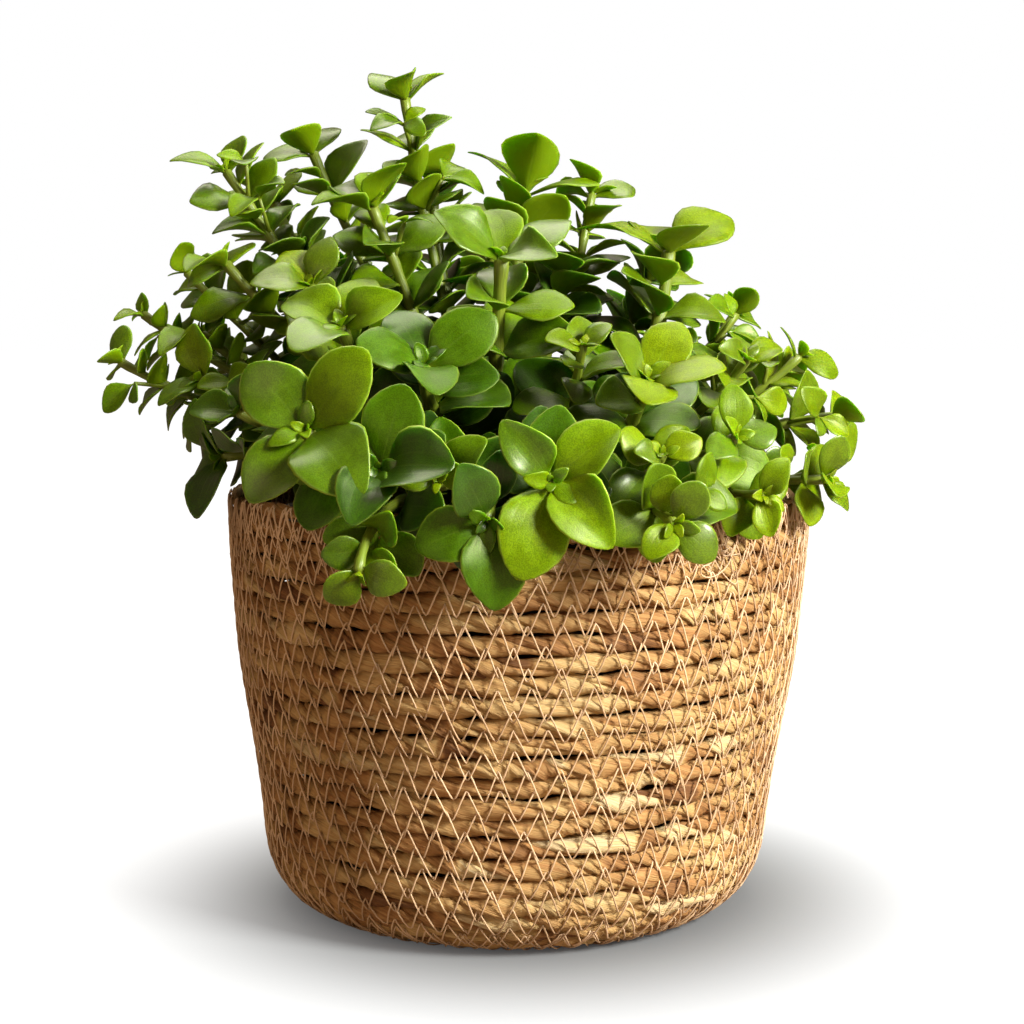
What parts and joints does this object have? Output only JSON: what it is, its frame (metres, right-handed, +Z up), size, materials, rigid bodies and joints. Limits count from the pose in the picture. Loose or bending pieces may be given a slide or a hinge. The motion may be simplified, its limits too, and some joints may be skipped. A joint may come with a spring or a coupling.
{
  "type": "potted trailing jade",
  "caption": "Bushy trailing jade with round fleshy leaves on pale stems, in a thin black grow pot inside a coiled seagrass rope basket sewn with zigzag thread.",
  "frame": {"origin": "centre of the basket's flat base, on the surface that it stands on", "axes": "+Z up out of the pot, -Y towards the side seen in the picture, +X to the right in that view"},
  "size_m": [0.1961, 0.1928, 0.2183],
  "materials": {
    "seagrass": "matte",
    "black_plastic": "satin",
    "potting_soil": "matte",
    "leaf_dark": "satin",
    "leaf_green": "satin",
    "leaf_young": "satin"
  },
  "bodies": {
    "root": {"basket": "seagrass", "grow_pot": "black_plastic", "soil": "potting_soil", "stem_back_hang": "leaf_green", "stem_back_inner": "leaf_dark", "stem_back_left": "leaf_green", "stem_back_low": "leaf_green", "stem_back_low_left": "leaf_green", "stem_back_low_right": "leaf_green", "stem_back_mid": "leaf_green", "stem_back_right": "leaf_green", "stem_back_side": "leaf_green", "stem_bright_mid": "leaf_young", "stem_centre_peak": "leaf_green", "stem_crown_left": "leaf_green", "stem_crown_mid": "leaf_green", "stem_crown_peak": "leaf_green", "stem_front_left": "leaf_green", "stem_front_low_left": "leaf_dark", "stem_front_low_mid": "leaf_green", "stem_front_low_right": "leaf_young", "stem_front_right": "leaf_young", "stem_front_rim": "leaf_dark", "stem_hanging": "leaf_young", "stem_inner_left": "leaf_dark", "stem_inner_mid": "leaf_dark", "stem_inner_right": "leaf_dark", "stem_left_back": "leaf_green", "stem_left_far": "leaf_green", "stem_left_low": "leaf_dark", "stem_left_lower": "leaf_dark", "stem_left_mass": "leaf_green", "stem_left_mass_low": "leaf_green", "stem_left_mid": "leaf_young", "stem_left_peak": "leaf_green", "stem_left_round": "leaf_green", "stem_left_spray": "leaf_green", "stem_left_trail": "leaf_green", "stem_left_upper": "leaf_green", "stem_mid_left": "leaf_green", "stem_mid_lower": "leaf_dark", "stem_mid_right": "leaf_young", "stem_mid_top": "leaf_green", "stem_right_back": "leaf_green", "stem_right_far": "leaf_young", "stem_right_front": "leaf_green", "stem_right_front_low": "leaf_young", "stem_right_high": "leaf_young", "stem_right_low": "leaf_young", "stem_right_mid": "leaf_young", "stem_right_peak": "leaf_young", "stem_young_front": "leaf_young", "stem_young_low": "leaf_young"}
  },
  "joints": []
}
